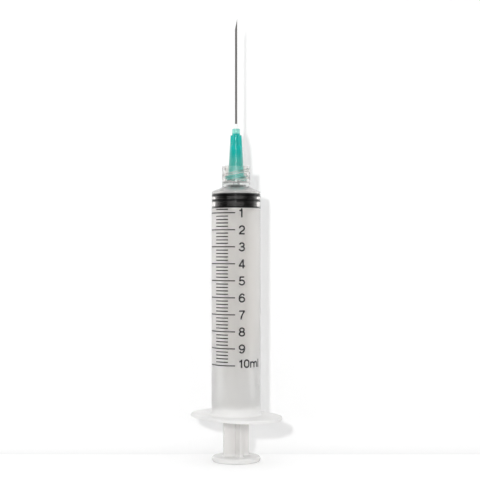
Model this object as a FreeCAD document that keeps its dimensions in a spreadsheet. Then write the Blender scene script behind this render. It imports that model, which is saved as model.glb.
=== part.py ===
import FreeCAD, Part

# Luer lock syringe of 10 ml with its needle screwed on and its plunger pushed home.
# It stands on its thumb rest with the needle up. All lengths are in millimetres.
# The origin is the centre of the thumb rest's underside, and +Z runs up the common axis
# to the needle's point. Someone who faces the scale looks along +Y, with +X to the right.

import math
import os

import Sketcher

# The driving dimensions: alias, value and meaning. Angles are in degrees.
SIZES = (
    ("thumb_rest_diameter", 16.7, "outside of the round thumb rest"),
    ("thumb_rest_thickness", 1.8, "thumb rest, underside to top face"),
    ("thumb_rest_bevel", 0.5, "bevel of both rims of the thumb rest"),
    ("thumb_dish_diameter", 12.0, "mouth of the shallow dish in the underside"),
    ("thumb_dish_depth", 0.4, "depth of that dish"),
    ("rod_length", 86.9, "thumb rest's underside to the gasket's seat"),
    ("rod_span", 9.1, "across two opposite ribs of the cross"),
    ("rod_rib_thickness", 1.0, "one rib of the cross"),
    ("rod_rib_fillet", 0.8, "fillet where the ribs meet the thumb rest"),
    ("rod_turn", 23.0, "turn of the cross about the axis"),
    ("rod_disc_diameter", 13.6, "disc behind the gasket"),
    ("rod_disc_thickness", 1.0, "that disc"),
    ("neck_diameter", 5.4, "neck between the disc and the head"),
    ("neck_length", 1.2, "that neck"),
    ("head_diameter", 8.4, "head that holds the gasket"),
    ("head_length", 1.6, "cylindrical part of the head"),
    ("head_tip_diameter", 5.4, "front end of the head's cone"),
    ("head_tip_length", 1.4, "that cone"),
    ("gasket_seat_gap", 0.05, "play between gasket and rod head, all round"),
    ("gasket_length", 5.15, "gasket, rear face to front sealing edge"),
    ("gasket_bore_gap", 0.02, "sealing ribs to bore, on the radius"),
    ("gasket_groove_depth", 0.25, "grooves between the sealing ribs"),
    ("gasket_flank", 0.15, "sloping side of a sealing rib"),
    ("gasket_rear_rib", 0.3, "crest of the rear sealing rib"),
    ("gasket_middle_rib", 0.7, "crest of the middle sealing rib"),
    ("gasket_middle_height", 2.2, "rear face to the middle rib's crest"),
    ("gasket_front_rib", 0.9, "crest of the front sealing rib"),
    ("gasket_front_gap", 0.1, "gasket to the front of the bore, along the axis"),
    ("bore_diameter", 14.9, "bore of the barrel"),
    ("bore_length", 77.4, "flange's rear face to the front end of the bore"),
    ("barrel_wall", 0.95, "wall of the barrel"),
    ("mouth_chamfer", 0.3, "lead-in chamfer at the open end"),
    ("stop_ring_height", 0.25, "ring in the bore that keeps the gasket in"),
    ("stop_ring_width", 0.8, "crest of that ring"),
    ("stop_ring_place", 2.6, "flange's rear face to the ring's rear slope"),
    ("stop_ring_slope", 0.6, "each sloping side of the ring"),
    ("flange_length", 36.2, "finger flange, long axis"),
    ("flange_width", 25.0, "finger flange, short axis"),
    ("flange_end_radius", 11.5, "rounded ends of the flange"),
    ("flange_thickness", 1.2, "finger flange"),
    ("flange_bevel", 0.3, "bevel of the flange's rims"),
    ("flange_root", 0.8, "sloping root between flange and barrel"),
    ("flange_turn", -50.6, "long axis of the flange, from +X"),
    ("front_cone_rise", 1.0, "rise of the conical front of the bore"),
    ("nose_diameter", 6.4, "base of the recess for the gasket's nose"),
    ("nose_tip_diameter", 4.6, "front end of that recess"),
    ("nose_rise", 1.5, "depth of that recess"),
    ("nose_gap", 0.1, "gasket's nose to that recess, on the radius"),
    ("front_wall", 0.7, "recess to the floor of the lock collar"),
    ("shoulder_lead", 0.3, "end of the bore to the outer shoulder's edge"),
    ("shoulder_rise", 1.4, "rise of the sloping shoulder"),
    ("shoulder_bevel", 0.4, "bevel of the shoulder's edge"),
    ("collar_depth", 5.7, "floor of the lock collar to its rim"),
    ("collar_wall", 0.8, "wall of the lock collar"),
    ("collar_bevel", 0.2, "bevel of the collar's rim"),
    ("fluid_bore_diameter", 1.8, "channel through the cone"),
    ("cone_tip_diameter", 3.93, "male cone at its tip"),
    ("cone_taper", 0.06, "growth of the cone's diameter for each millimetre"),
    ("cone_tip_bevel", 0.25, "bevel of the cone's tip"),
    ("cone_engagement", 6.1, "overlap of male and female cone"),
    ("cone_gap", 0.012, "seated cones, on the radius"),
    ("collar_floor_gap", 0.6, "needle hub to the floor of the lock collar"),
    ("thread_root_diameter", 8.0, "inside of the lock collar"),
    ("thread_crest_diameter", 7.1, "across the crests of its thread"),
    ("thread_crest_width", 0.5, "crest of a thread ridge"),
    ("thread_flank_angle", 25.0, "flanks of ridges and lugs, from the radius"),
    ("thread_lead", 5.0, "advance in one turn, right hand, two starts"),
    ("thread_bury", 0.35, "start of each ridge below the collar's floor"),
    ("thread_rim_land", 0.5, "last of the ridges to the collar's rim"),
    ("thread_flank_gap", 0.05, "lug to ridge, square to the flank"),
    ("lug_diameter", 7.8, "across the two lugs"),
    ("lug_crest_width", 0.4, "crest of a lug"),
    ("lug_start_angle", 335.0, "lower end of the first lug, from +X"),
    ("lug_sweep_angle", 115.0, "length of a lug round the hub"),
    ("lug_inset", 0.8, "root of a lug inside the hub's foot"),
    ("hub_length", 18.0, "needle hub, mouth to nose"),
    ("hub_foot_diameter", 6.7, "foot that carries the lugs"),
    ("hub_foot_height", 1.75, "that foot"),
    ("hub_skirt_diameter", 5.45, "lower end of the tapered skirt"),
    ("hub_waist_diameter", 4.3, "upper end of the tapered skirt"),
    ("hub_waist_height", 12.2, "mouth to the upper end of the skirt"),
    ("hub_nose_diameter", 2.75, "slender upper part of the hub"),
    ("hub_cone_depth", 10.8, "depth of the female cone"),
    ("fin_span", 3.9, "across two opposite fins"),
    ("fin_top_span", 3.6, "across two opposite fins at their upper end"),
    ("fin_thickness", 0.9, "one fin"),
    ("fin_top_height", 16.3, "mouth to the upper end of the fins"),
    ("fin_slope", 0.5, "sloping top of a fin, along the axis"),
    ("fin_root_depth", 0.25, "root of a fin inside the hub's nose"),
    ("glue_well_diameter", 1.9, "mouth of the well that holds the adhesive"),
    ("glue_well_depth", 1.4, "depth of that well"),
    ("needle_diameter", 0.8, "outside of the steel tube"),
    ("needle_wall", 0.13, "wall of the steel tube"),
    ("needle_exposed", 38.0, "hub's nose to the needle's point"),
    ("needle_inset", 6.4, "needle's length inside the hub"),
    ("needle_gap", 0.01, "needle to hub, on the radius"),
    ("bevel_angle", 11.6, "main bevel, from the needle's axis"),
    ("lancet_angle", 16.5, "two side facets of the point, from the axis"),
    ("lancet_turn", 50.0, "turn of each side facet about the axis"),
    ("bead_rise", 1.7, "adhesive above the hub's nose"),
    ("bead_waist_rise", 0.68, "hub's nose to the waist of the adhesive"),
    ("bead_top_diameter", 1.1, "upper end of the adhesive"),
    ("bead_gap", 0.02, "adhesive to its neighbours, on the radius"),
)

THREAD_STARTS = 2
ROD_RIBS = 4
HUB_FINS = 4
TOLERANCE = 1e-4

# Heights and radii that several pieces share, as expressions over the sheet.
# Barrel heights start at the flange's rear face, hub heights at the hub's mouth.
BORE_R = "Sizes.bore_diameter / 2"
BARREL_R = f"({BORE_R} + Sizes.barrel_wall)"
COLLAR_R = "(Sizes.thread_root_diameter / 2 + Sizes.collar_wall)"
RECESS_FOOT = "(Sizes.bore_length + Sizes.front_cone_rise)"
RECESS_TOP = f"({RECESS_FOOT} + Sizes.nose_rise)"
COLLAR_FLOOR = f"({RECESS_TOP} + Sizes.front_wall)"
COLLAR_RIM = f"({COLLAR_FLOOR} + Sizes.collar_depth)"
SHOULDER_EDGE = "(Sizes.bore_length + Sizes.shoulder_lead)"
SHOULDER_TOP = f"({SHOULDER_EDGE} + Sizes.shoulder_rise)"
CONE_TIP = f"({COLLAR_FLOOR} + Sizes.collar_floor_gap + Sizes.cone_engagement)"
SEATED_CONE_R = "(Sizes.cone_tip_diameter / 2 + Sizes.cone_taper / 2 * Sizes.cone_engagement)"
HUB_MOUTH_R = f"({SEATED_CONE_R} + Sizes.cone_gap)"
NEEDLE_HOLE_R = "(Sizes.needle_diameter / 2 + Sizes.needle_gap)"
WELL_FLOOR = "(Sizes.hub_length - Sizes.glue_well_depth)"
FLANK_SLOPE = "tan(Sizes.thread_flank_angle * 1deg)"
GASKET_FLOOR = "(Sizes.rod_length + Sizes.gasket_seat_gap)"
BARREL_FLOOR = f"({GASKET_FLOOR} + Sizes.gasket_length + Sizes.gasket_front_gap - Sizes.bore_length)"
HUB_FLOOR = f"({BARREL_FLOOR} + {COLLAR_FLOOR} + Sizes.collar_floor_gap)"


def make_sheet(doc):
    """Write the driving dimensions into a sheet, one aliased cell each."""
    sheet = doc.addObject("Spreadsheet::Sheet", "Sizes")
    for row, (alias, value, meaning) in enumerate(SIZES, start=1):
        sheet.set(f"A{row}", meaning)
        sheet.set(f"B{row}", str(value))
        sheet.setAlias(f"B{row}", alias)
    doc.recompute()


def new_body(doc, name, height="0", turn="0"):
    """Start a piece whose own base lies at a height and turn on the common axis."""
    body = doc.addObject("PartDesign::Body", name)
    body.Label = name
    body.Placement = FreeCAD.Placement(FreeCAD.Vector(), FreeCAD.Rotation(FreeCAD.Vector(0, 0, 1), 1))
    body.setExpression("Placement.Base.z", height)
    body.setExpression("Placement.Rotation.Angle", turn)
    return body


def number(body, expression):
    """Value of an expression over the sheet."""
    return float(body.evalExpression(expression))


def new_sketch(body, name, role, turn=None):
    """Sketch on one of the body's own origin planes, turned about the axis if asked."""
    sketch = body.newObject("Sketcher::SketchObject", name)
    plane = next(feature for feature in body.Origin.OriginFeatures if feature.Role == role)
    sketch.AttachmentSupport = [(plane, "")]
    sketch.MapMode = "FlatFace"
    if turn is not None:
        axis = FreeCAD.Vector(0, 0, 1) if role == "XY_Plane" else FreeCAD.Vector(0, 1, 0)
        sketch.AttachmentOffset = FreeCAD.Placement(FreeCAD.Vector(), FreeCAD.Rotation(axis, 1))
        sketch.setExpression("AttachmentOffset.Rotation.Angle", turn)
    return sketch


def bind(sketch, kind, geometry, point, expression):
    """Set one coordinate of a point from the origin to an expression."""
    if expression == "0":
        axis = -2 if kind == "DistanceX" else -1
        sketch.addConstraint(Sketcher.Constraint("PointOnObject", geometry, point, axis))
        return
    value = number(sketch, expression)
    index = sketch.addConstraint(Sketcher.Constraint(kind, -1, 1, geometry, point, value))
    sketch.setExpression(f"Constraints[{index}]", expression)


def outline(body, name, role, corners, turn=None):
    """Closed outline of straight lines through corners given as pairs of expressions."""
    sketch = new_sketch(body, name, role, turn)
    points = [FreeCAD.Vector(number(body, across), number(body, up), 0) for across, up in corners]
    count = len(points)
    for index in range(count):
        sketch.addGeometry(Part.LineSegment(points[index], points[(index + 1) % count]), False)
    for index in range(count):
        sketch.addConstraint(Sketcher.Constraint("Coincident", index, 2, (index + 1) % count, 1))
    for index, (across, up) in enumerate(corners):
        bind(sketch, "DistanceX", index, 1, across)
        bind(sketch, "DistanceY", index, 1, up)
    return sketch


def revolve(body, name, corners):
    """Turned solid from an outline of radius and height."""
    sketch = outline(body, f"{name}_outline", "XZ_Plane", corners)
    turned = body.newObject("PartDesign::Revolution", name)
    turned.Profile = sketch
    turned.ReferenceAxis = (sketch, ["V_Axis"])
    turned.Angle = 360
    body.Document.recompute()
    return turned


def polar(body, name, feature, axis, count):
    """Even copies of a feature round the axis of its sketch."""
    pattern = body.newObject("PartDesign::PolarPattern", name)
    pattern.Originals = [feature]
    pattern.Axis = (feature.Profile[0], [axis])
    pattern.Angle = 360
    pattern.Occurrences = count
    body.Tip = pattern
    body.Document.recompute()
    return pattern


def helix(body, name, sketch, rise):
    """Right-hand helical solid of the thread's lead that climbs by rise."""
    feature = body.newObject("PartDesign::AdditiveHelix", name)
    feature.Profile = sketch
    feature.ReferenceAxis = (sketch, ["V_Axis"])
    feature.Mode = "pitch-height-angle"
    feature.Angle = 0
    feature.setExpression("Pitch", "Sizes.thread_lead")
    feature.setExpression("Height", rise)
    body.Document.recompute()
    return feature


def ring_edges(feature, rings):
    """Names of the circular edges with the radii and heights given as expressions."""
    wanted = [(number(feature, radius), number(feature, height)) for radius, height in rings]
    names = []
    for index, edge in enumerate(feature.Shape.Edges, start=1):
        if not isinstance(edge.Curve, Part.Circle):
            continue
        found = (edge.Curve.Radius, edge.Curve.Center.z)
        on_axis = math.hypot(edge.Curve.Center.x, edge.Curve.Center.y) < TOLERANCE
        if on_axis and any(math.dist(found, ring) < TOLERANCE for ring in wanted):
            names.append(f"Edge{index}")
    if len(names) < len(rings):
        raise RuntimeError(f"{feature.Name}: {len(names)} of {len(rings)} rings found")
    return names


def bevel(body, name, feature, edges, size):
    """Bevel some edges of a feature at 45 degrees."""
    bevelled = body.newObject("PartDesign::Chamfer", name)
    bevelled.Base = (feature, edges)
    bevelled.setExpression("Size", size)
    body.Document.recompute()
    return bevelled


def build_plunger_rod(doc):
    """Thumb rest, cross of ribs, disc and the head that holds the gasket: one moulding."""
    body = new_body(doc, "plunger_rod", turn="Sizes.rod_turn")
    rest_r = "Sizes.thumb_rest_diameter / 2"
    rest_top = "Sizes.thumb_rest_thickness"
    thumb_rest = revolve(body, "thumb_rest", (
        ("0", "Sizes.thumb_dish_depth"),
        ("Sizes.thumb_dish_diameter / 2 - Sizes.thumb_dish_depth", "Sizes.thumb_dish_depth"),
        ("Sizes.thumb_dish_diameter / 2", "0"),
        (rest_r, "0"),
        (rest_r, rest_top),
        ("0", rest_top),
    ))
    bevel(body, "thumb_rest_rims", thumb_rest, ring_edges(thumb_rest, ((rest_r, "0"), (rest_r, rest_top))),
          "Sizes.thumb_rest_bevel")

    disc_foot = "(Sizes.rod_length - Sizes.rod_disc_thickness)"
    half_rib = "Sizes.rod_rib_thickness / 2"
    rib_r = "Sizes.rod_span / 2"
    section = outline(body, "rib_section", "XY_Plane", (
        ("0", f"-{half_rib}"),
        (rib_r, f"-{half_rib}"),
        (rib_r, half_rib),
        ("0", half_rib),
    ))
    rib = body.newObject("PartDesign::Pad", "rib")
    rib.Profile = section
    section.AttachmentOffset.Base = FreeCAD.Vector(0, 0, 1)
    section.setExpression("AttachmentOffset.Base.z", "Sizes.thumb_dish_depth")
    rib.setExpression("Length", f"{disc_foot} - Sizes.thumb_dish_depth")
    cross = polar(body, "cross", rib, "N_Axis", ROD_RIBS)

    feet = [f"Edge{index}" for index, edge in enumerate(cross.Shape.Edges, start=1)
            if abs(edge.BoundBox.ZMin - number(body, rest_top)) < TOLERANCE
            and edge.BoundBox.ZLength < TOLERANCE and not isinstance(edge.Curve, Part.Circle)]
    rounded_feet = body.newObject("PartDesign::Fillet", "cross_feet")
    rounded_feet.Base = (cross, feet)
    rounded_feet.setExpression("Radius", "Sizes.rod_rib_fillet")
    doc.recompute()

    neck_top = "(Sizes.rod_length + Sizes.neck_length)"
    head_top = f"({neck_top} + Sizes.head_length)"
    revolve(body, "front_head", (
        ("0", disc_foot),
        ("Sizes.rod_disc_diameter / 2", disc_foot),
        ("Sizes.rod_disc_diameter / 2", "Sizes.rod_length"),
        ("Sizes.neck_diameter / 2", "Sizes.rod_length"),
        ("Sizes.neck_diameter / 2", neck_top),
        ("Sizes.head_diameter / 2", neck_top),
        ("Sizes.head_diameter / 2", head_top),
        ("Sizes.head_tip_diameter / 2", f"{head_top} + Sizes.head_tip_length"),
        ("0", f"{head_top} + Sizes.head_tip_length"),
    ))
    return body


def build_gasket(doc):
    """Rubber gasket with three sealing ribs, a conical nose and a socket for the rod's head."""
    body = new_body(doc, "gasket", height=GASKET_FLOOR)
    gap = "Sizes.gasket_seat_gap"
    rib_r = f"({BORE_R} - Sizes.gasket_bore_gap)"
    groove_r = f"({rib_r} - Sizes.gasket_groove_depth)"
    rear_top = "Sizes.gasket_rear_rib"
    middle = "Sizes.gasket_middle_height"
    middle_top = f"({middle} + Sizes.gasket_middle_rib)"
    front = "(Sizes.gasket_length - Sizes.gasket_front_rib)"
    nose_foot = "(Sizes.gasket_length + Sizes.front_cone_rise)"
    neck_top = f"(Sizes.neck_length - 2 * {gap})"
    head_top = f"({neck_top} + Sizes.head_length + 2 * {gap})"
    revolve(body, "moulding", (
        (f"Sizes.neck_diameter / 2 + {gap}", "0"),
        (rib_r, "0"),
        (rib_r, rear_top),
        (groove_r, f"{rear_top} + Sizes.gasket_flank"),
        (groove_r, f"{middle} - Sizes.gasket_flank"),
        (rib_r, middle),
        (rib_r, middle_top),
        (groove_r, f"{middle_top} + Sizes.gasket_flank"),
        (groove_r, f"{front} - Sizes.gasket_flank"),
        (rib_r, front),
        (rib_r, "Sizes.gasket_length"),
        ("Sizes.nose_diameter / 2 - Sizes.nose_gap", nose_foot),
        ("Sizes.nose_tip_diameter / 2 - Sizes.nose_gap", f"{nose_foot} + Sizes.nose_rise"),
        ("0", f"{nose_foot} + Sizes.nose_rise"),
        ("0", f"{head_top} + Sizes.head_tip_length"),
        (f"Sizes.head_tip_diameter / 2 + {gap}", f"{head_top} + Sizes.head_tip_length"),
        (f"Sizes.head_diameter / 2 + {gap}", head_top),
        (f"Sizes.head_diameter / 2 + {gap}", neck_top),
        (f"Sizes.neck_diameter / 2 + {gap}", neck_top),
    ))
    return body


def oval_section(body, name):
    """Finger flange in plan: four tangent arcs, open inside the barrel's wall."""
    sketch = new_sketch(body, name, "XY_Plane", "Sizes.flange_turn")
    end_r = "Sizes.flange_end_radius"
    end_x = f"(Sizes.flange_length / 2 - {end_r})"
    half_width = "(Sizes.flange_width / 2)"
    side_r = f"(({half_width}^2 + {end_x}^2 - {end_r}^2) / (2 * ({half_width} - {end_r})))"
    side_y = f"({side_r} - {half_width})"
    ends, drop = number(body, end_x), number(body, side_y)
    split = math.atan2(drop, ends)
    arcs = (
        (ends, 0, number(body, end_r), -split, split),
        (0, -drop, number(body, side_r), split, math.pi - split),
        (-ends, 0, number(body, end_r), math.pi - split, math.pi + split),
        (0, drop, number(body, side_r), math.pi + split, 2 * math.pi - split),
    )
    for across, up, radius, start, stop in arcs:
        circle = Part.Circle(FreeCAD.Vector(across, up, 0), FreeCAD.Vector(0, 0, 1), radius)
        sketch.addGeometry(Part.ArcOfCircle(circle, start, stop), False)
    for index in range(4):
        sketch.addConstraint(Sketcher.Constraint("Tangent", index, 2, (index + 1) % 4, 1))
    for index, place in ((0, end_x), (2, f"-{end_x}")):
        bind(sketch, "DistanceX", index, 3, place)
        bind(sketch, "DistanceY", index, 3, "0")
        radius = sketch.addConstraint(Sketcher.Constraint("Radius", index, number(body, end_r)))
        sketch.setExpression(f"Constraints[{radius}]", end_r)
    bind(sketch, "DistanceY", 1, 3, f"-{side_y}")
    bind(sketch, "DistanceY", 3, 3, side_y)

    inner_r = f"({BORE_R} + Sizes.barrel_wall / 2)"
    circle = Part.Circle(FreeCAD.Vector(), FreeCAD.Vector(0, 0, 1), number(body, inner_r))
    hole = sketch.addGeometry(circle, False)
    sketch.addConstraint(Sketcher.Constraint("Coincident", hole, 3, -1, 1))
    radius = sketch.addConstraint(Sketcher.Constraint("Radius", hole, number(body, inner_r)))
    sketch.setExpression(f"Constraints[{radius}]", inner_r)
    return sketch


def build_barrel(doc):
    """Barrel, finger flange, shoulder, male cone and threaded lock collar: one moulding."""
    body = new_body(doc, "barrel", height=BARREL_FLOOR)
    ring_foot = "Sizes.stop_ring_place"
    ring_crest = f"({ring_foot} + Sizes.stop_ring_slope)"
    ring_end = f"({ring_crest} + Sizes.stop_ring_width)"
    cone_tip_r = "Sizes.cone_tip_diameter / 2"
    cone_foot_r = f"({cone_tip_r} + Sizes.cone_taper / 2 * (Sizes.collar_floor_gap + Sizes.cone_engagement))"
    fluid_r = "Sizes.fluid_bore_diameter / 2"
    shell = revolve(body, "shell", (
        (f"{BORE_R} + Sizes.mouth_chamfer", "0"),
        (BARREL_R, "0"),
        (BARREL_R, SHOULDER_EDGE),
        (COLLAR_R, SHOULDER_TOP),
        (COLLAR_R, COLLAR_RIM),
        ("Sizes.thread_root_diameter / 2", COLLAR_RIM),
        ("Sizes.thread_root_diameter / 2", COLLAR_FLOOR),
        (cone_foot_r, COLLAR_FLOOR),
        (cone_tip_r, CONE_TIP),
        (fluid_r, CONE_TIP),
        (fluid_r, RECESS_TOP),
        ("Sizes.nose_tip_diameter / 2", RECESS_TOP),
        ("Sizes.nose_diameter / 2", RECESS_FOOT),
        (BORE_R, "Sizes.bore_length"),
        (BORE_R, f"{ring_end} + Sizes.stop_ring_slope"),
        (f"{BORE_R} - Sizes.stop_ring_height", ring_end),
        (f"{BORE_R} - Sizes.stop_ring_height", ring_crest),
        (BORE_R, ring_foot),
        (BORE_R, "Sizes.mouth_chamfer"),
    ))
    shoulder = bevel(body, "shoulder_edge", shell, ring_edges(shell, ((BARREL_R, SHOULDER_EDGE),)),
                     "Sizes.shoulder_bevel")
    rim = bevel(body, "collar_rim", shoulder, ring_edges(shoulder, ((COLLAR_R, COLLAR_RIM),)),
                "Sizes.collar_bevel")
    bevel(body, "cone_tip", rim, ring_edges(rim, ((cone_tip_r, CONE_TIP),)), "Sizes.cone_tip_bevel")

    flange = body.newObject("PartDesign::Pad", "flange")
    flange.Profile = oval_section(body, "flange_plan")
    flange.setExpression("Length", "Sizes.flange_thickness")
    doc.recompute()
    top = "Sizes.flange_thickness"
    junction = bevel(body, "flange_root", flange, ring_edges(flange, ((BARREL_R, top),)), "Sizes.flange_root")
    reach = number(body, f"{BARREL_R} + Sizes.flange_root")
    rims = [f"Edge{index}" for index, edge in enumerate(junction.Shape.Edges, start=1)
            if edge.BoundBox.ZLength < TOLERANCE and edge.BoundBox.ZMin < number(body, top) + TOLERANCE
            and edge.distToShape(Part.Vertex(0, 0, edge.BoundBox.ZMin))[0] > reach + TOLERANCE]
    bevel(body, "flange_rims", junction, rims, "Sizes.flange_bevel")

    crest_r = "Sizes.thread_crest_diameter / 2"
    wall_r = "(Sizes.thread_root_diameter / 2 + Sizes.collar_wall / 4)"
    crest = "Sizes.thread_crest_width / 2"
    base = f"({crest} + ({wall_r} - {crest_r}) * {FLANK_SLOPE})"
    start = f"({COLLAR_FLOOR} - Sizes.thread_bury)"
    ridge = outline(body, "ridge_section", "XZ_Plane", (
        (crest_r, f"{start} - {crest}"),
        (wall_r, f"{start} - {base}"),
        (wall_r, f"{start} + {base}"),
        (crest_r, f"{start} + {crest}"),
    ))
    rise = f"{COLLAR_RIM} - Sizes.thread_rim_land - {base} - {start}"
    polar(body, "thread", helix(body, "ridge", ridge, rise), "V_Axis", THREAD_STARTS)
    return body


def build_needle_hub(doc):
    """Needle hub: female cone, foot with two helical lugs, skirt, fins and glue well."""
    body = new_body(doc, "needle_hub", height=HUB_FLOOR)
    nose_r = "Sizes.hub_nose_diameter / 2"
    foot_r = "Sizes.hub_foot_diameter / 2"
    skirt_r = "Sizes.hub_skirt_diameter / 2"
    waist = "Sizes.hub_waist_height"
    revolve(body, "shell", (
        (HUB_MOUTH_R, "0"),
        (foot_r, "0"),
        (foot_r, "Sizes.hub_foot_height"),
        (skirt_r, "Sizes.hub_foot_height"),
        ("Sizes.hub_waist_diameter / 2", waist),
        (nose_r, waist),
        (nose_r, "Sizes.hub_length"),
        ("Sizes.glue_well_diameter / 2", "Sizes.hub_length"),
        (NEEDLE_HOLE_R, WELL_FLOOR),
        (NEEDLE_HOLE_R, "Sizes.hub_cone_depth"),
        (f"{HUB_MOUTH_R} - Sizes.cone_taper / 2 * Sizes.hub_cone_depth", "Sizes.hub_cone_depth"),
    ))

    root_r = f"({nose_r} - Sizes.fin_root_depth)"
    fin_outline = outline(body, "fin_outline", "XZ_Plane", (
        (root_r, waist),
        ("Sizes.fin_span / 2", waist),
        ("Sizes.fin_top_span / 2", "Sizes.fin_top_height - Sizes.fin_slope"),
        (nose_r, "Sizes.fin_top_height"),
        (root_r, "Sizes.fin_top_height"),
    ))
    fin = body.newObject("PartDesign::Pad", "fin")
    fin.Profile = fin_outline
    fin.SideType = "Symmetric"
    fin.setExpression("Length", "Sizes.fin_thickness")
    polar(body, "fins", fin, "V_Axis", HUB_FINS)

    crest = "Sizes.lug_crest_width / 2"
    lug_r = "Sizes.lug_diameter / 2"
    base = f"({crest} + ({lug_r} - {foot_r}) * {FLANK_SLOPE})"
    stack = (f"(Sizes.thread_crest_width / 2 + {crest}"
             f" + (Sizes.lug_diameter - Sizes.thread_crest_diameter) / 2 * {FLANK_SLOPE}"
             " + Sizes.thread_flank_gap / cos(Sizes.thread_flank_angle * 1deg))")
    climb = "Sizes.thread_lead * (Sizes.lug_start_angle - 180) / 360"
    start = f"({climb} - Sizes.thread_bury - Sizes.collar_floor_gap - {stack})"
    inner_r = f"({foot_r} - Sizes.lug_inset)"
    lug = outline(body, "lug_section", "XZ_Plane", (
        (inner_r, f"{start} - {base}"),
        (foot_r, f"{start} - {base}"),
        (lug_r, f"{start} - {crest}"),
        (lug_r, f"{start} + {crest}"),
        (foot_r, f"{start} + {base}"),
        (inner_r, f"{start} + {base}"),
    ), turn="Sizes.lug_start_angle")
    rise = "Sizes.thread_lead * Sizes.lug_sweep_angle / 360"
    polar(body, "lugs", helix(body, "lug", lug, rise), "V_Axis", THREAD_STARTS)
    return body


def grind(body, name, angle, turn, point_x):
    """Grind one facet that runs through the needle's point."""
    radius = "Sizes.needle_diameter / 2"
    length = "(Sizes.needle_inset + Sizes.needle_exposed)"
    run = f"tan({angle} * 1deg)"
    facet = outline(body, f"{name}_outline", "XZ_Plane", (
        (f"-2 * {radius}", f"{length} - ({point_x} + 2 * {radius}) / {run}"),
        (f"2 * {radius}", f"{length} + (2 * {radius} - {point_x}) / {run}"),
        (f"-2 * {radius}", f"{length} + (2 * {radius} - {point_x}) / {run}"),
    ), turn=turn)
    pocket = body.newObject("PartDesign::Pocket", name)
    pocket.Profile = facet
    pocket.SideType = "Symmetric"
    pocket.setExpression("Length", f"4 * {radius}")
    body.Document.recompute()


def build_cannula(doc):
    """Steel tube with a main bevel that faces -X and two side facets at the point."""
    body = new_body(doc, "cannula", height=f"{HUB_FLOOR} + Sizes.hub_length - Sizes.needle_inset")
    radius = "Sizes.needle_diameter / 2"
    length = "(Sizes.needle_inset + Sizes.needle_exposed)"
    revolve(body, "tube", (
        (f"{radius} - Sizes.needle_wall", "0"),
        (radius, "0"),
        (radius, length),
        (f"{radius} - Sizes.needle_wall", length),
    ))
    grind(body, "bevel", "Sizes.bevel_angle", "0", radius)
    side_x = f"{radius} * cos(Sizes.lancet_turn * 1deg)"
    grind(body, "lancet_left", "Sizes.lancet_angle", "Sizes.lancet_turn", side_x)
    grind(body, "lancet_right", "Sizes.lancet_angle", "-Sizes.lancet_turn", side_x)
    return body


def build_adhesive_bead(doc):
    """Adhesive that fills the hub's well and climbs a little up the needle."""
    body = new_body(doc, "adhesive_bead", height=f"{HUB_FLOOR} + {WELL_FLOOR}")
    gap = "Sizes.bead_gap"
    inner_r = f"(Sizes.needle_diameter / 2 + {gap})"
    well_slope = f"((Sizes.glue_well_diameter / 2 - {NEEDLE_HOLE_R}) / Sizes.glue_well_depth)"
    foot = f"(({inner_r} + {gap} - {NEEDLE_HOLE_R}) / {well_slope} + {gap})"
    mouth = "Sizes.glue_well_depth"
    brim_r = f"(Sizes.glue_well_diameter / 2 - {gap})"
    revolve(body, "bead", (
        (inner_r, foot),
        (brim_r, mouth),
        (f"({brim_r} + Sizes.bead_top_diameter / 2) / 2", f"{mouth} + Sizes.bead_waist_rise"),
        ("Sizes.bead_top_diameter / 2", f"{mouth} + Sizes.bead_rise"),
        (inner_r, f"{mouth} + Sizes.bead_rise"),
    ))
    return body


def check(doc, bodies):
    """Stop if an object failed or a piece isn't one sound solid."""
    for item in doc.Objects:
        if "Invalid" in item.State or "Error" in item.State:
            raise RuntimeError(f"{item.Name} failed: {item.State}")
    for body in bodies:
        shape = body.Shape
        if shape.isNull() or not shape.isValid() or len(shape.Solids) != 1:
            raise RuntimeError(f"{body.Label} is not one sound solid")


def export(bodies):
    """Write one STEP file for each piece."""
    os.makedirs("parts", exist_ok=True)
    for body in bodies:
        body.Shape.exportStep(f"parts/{body.Label}.step")
        box = body.Shape.BoundBox
        print(f"{body.Label}: {body.Shape.Volume:.2f} mm3, z {box.ZMin:.2f} to {box.ZMax:.2f}")


def main():
    doc = FreeCAD.newDocument("luer_lock_syringe")
    make_sheet(doc)
    bodies = [
        build_plunger_rod(doc),
        build_gasket(doc),
        build_barrel(doc),
        build_needle_hub(doc),
        build_cannula(doc),
        build_adhesive_bead(doc),
    ]
    doc.recompute()
    check(doc, bodies)
    export(bodies)


main()
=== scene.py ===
import logging
import math
from dataclasses import dataclass
from enum import Enum
from typing import Callable, Sequence, Union

import bmesh
import bpy
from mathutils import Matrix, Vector


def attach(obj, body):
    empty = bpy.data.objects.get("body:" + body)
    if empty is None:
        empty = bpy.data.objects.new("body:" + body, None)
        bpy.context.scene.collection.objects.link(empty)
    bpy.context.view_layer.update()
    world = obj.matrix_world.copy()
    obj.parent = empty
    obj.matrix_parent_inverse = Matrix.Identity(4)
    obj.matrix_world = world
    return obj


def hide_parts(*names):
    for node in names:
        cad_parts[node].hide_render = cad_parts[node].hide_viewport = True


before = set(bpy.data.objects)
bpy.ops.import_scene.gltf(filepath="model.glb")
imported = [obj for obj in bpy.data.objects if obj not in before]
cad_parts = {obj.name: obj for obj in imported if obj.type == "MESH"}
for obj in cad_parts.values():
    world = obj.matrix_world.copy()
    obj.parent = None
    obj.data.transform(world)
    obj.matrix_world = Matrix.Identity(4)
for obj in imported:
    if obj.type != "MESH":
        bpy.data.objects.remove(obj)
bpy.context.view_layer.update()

# All modelling is done in millimetres; Bench.finish brings a piece to metres.
MM = 0.001
# Places closer than this are on one ring, and points closer than these are merged, in one
# mesh or where solids were fused.
SAME_RING = 0.004
MERGE = 0.0005
MERGE_FUSED = 0.002
# Flank of the lock thread's ridges and of the lugs that run in it.
FLANK = math.radians(25)
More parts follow.
